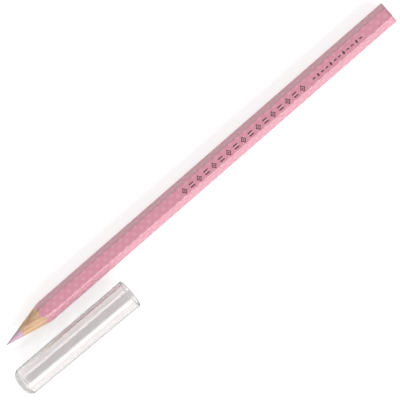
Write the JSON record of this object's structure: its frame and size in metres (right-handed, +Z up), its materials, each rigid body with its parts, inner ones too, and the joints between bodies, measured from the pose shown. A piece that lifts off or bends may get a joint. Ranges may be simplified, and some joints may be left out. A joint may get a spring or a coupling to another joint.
{
  "type": "fabric chalk pencil with cap",
  "caption": "Hexagonal wood-cased chalk pencil for marking fabric, sharpened at one end, with a clear tapered push-on cap taken off and lying beside it.",
  "frame": {"origin": "on the pencil's underside flat, at the middle of its length, at the height of the surface it lies on", "axes": "+X along the pencil from the sharpened point towards the cut rear end, +Z up out of the surface that the pencil lies on, the cap lies on the -Y side"},
  "size_m": [0.1802, 0.0242, 0.0109],
  "materials": {
    "chalk": "matte pinkish-lilac pressed chalk",
    "wood": "bare sharpened softwood, fine straight grain",
    "lacquer": "pink lacquer, semi-gloss, faint spotted pattern",
    "clear_plastic": "clear polished moulded plastic"
  },
  "bodies": {
    "pencil": {"chalk_core": "chalk", "casing_slat_upper": "wood", "casing_slat_lower": "wood", "lacquer_coat": "lacquer"},
    "cap": {"clear_cap": "clear_plastic"}
  },
  "joints": [
    {"name": "cap_slide", "type": "slide", "parent": "pencil", "child": "cap", "axis": [-1, 0, 0], "range_m": [0, 0.05]}
  ]
}
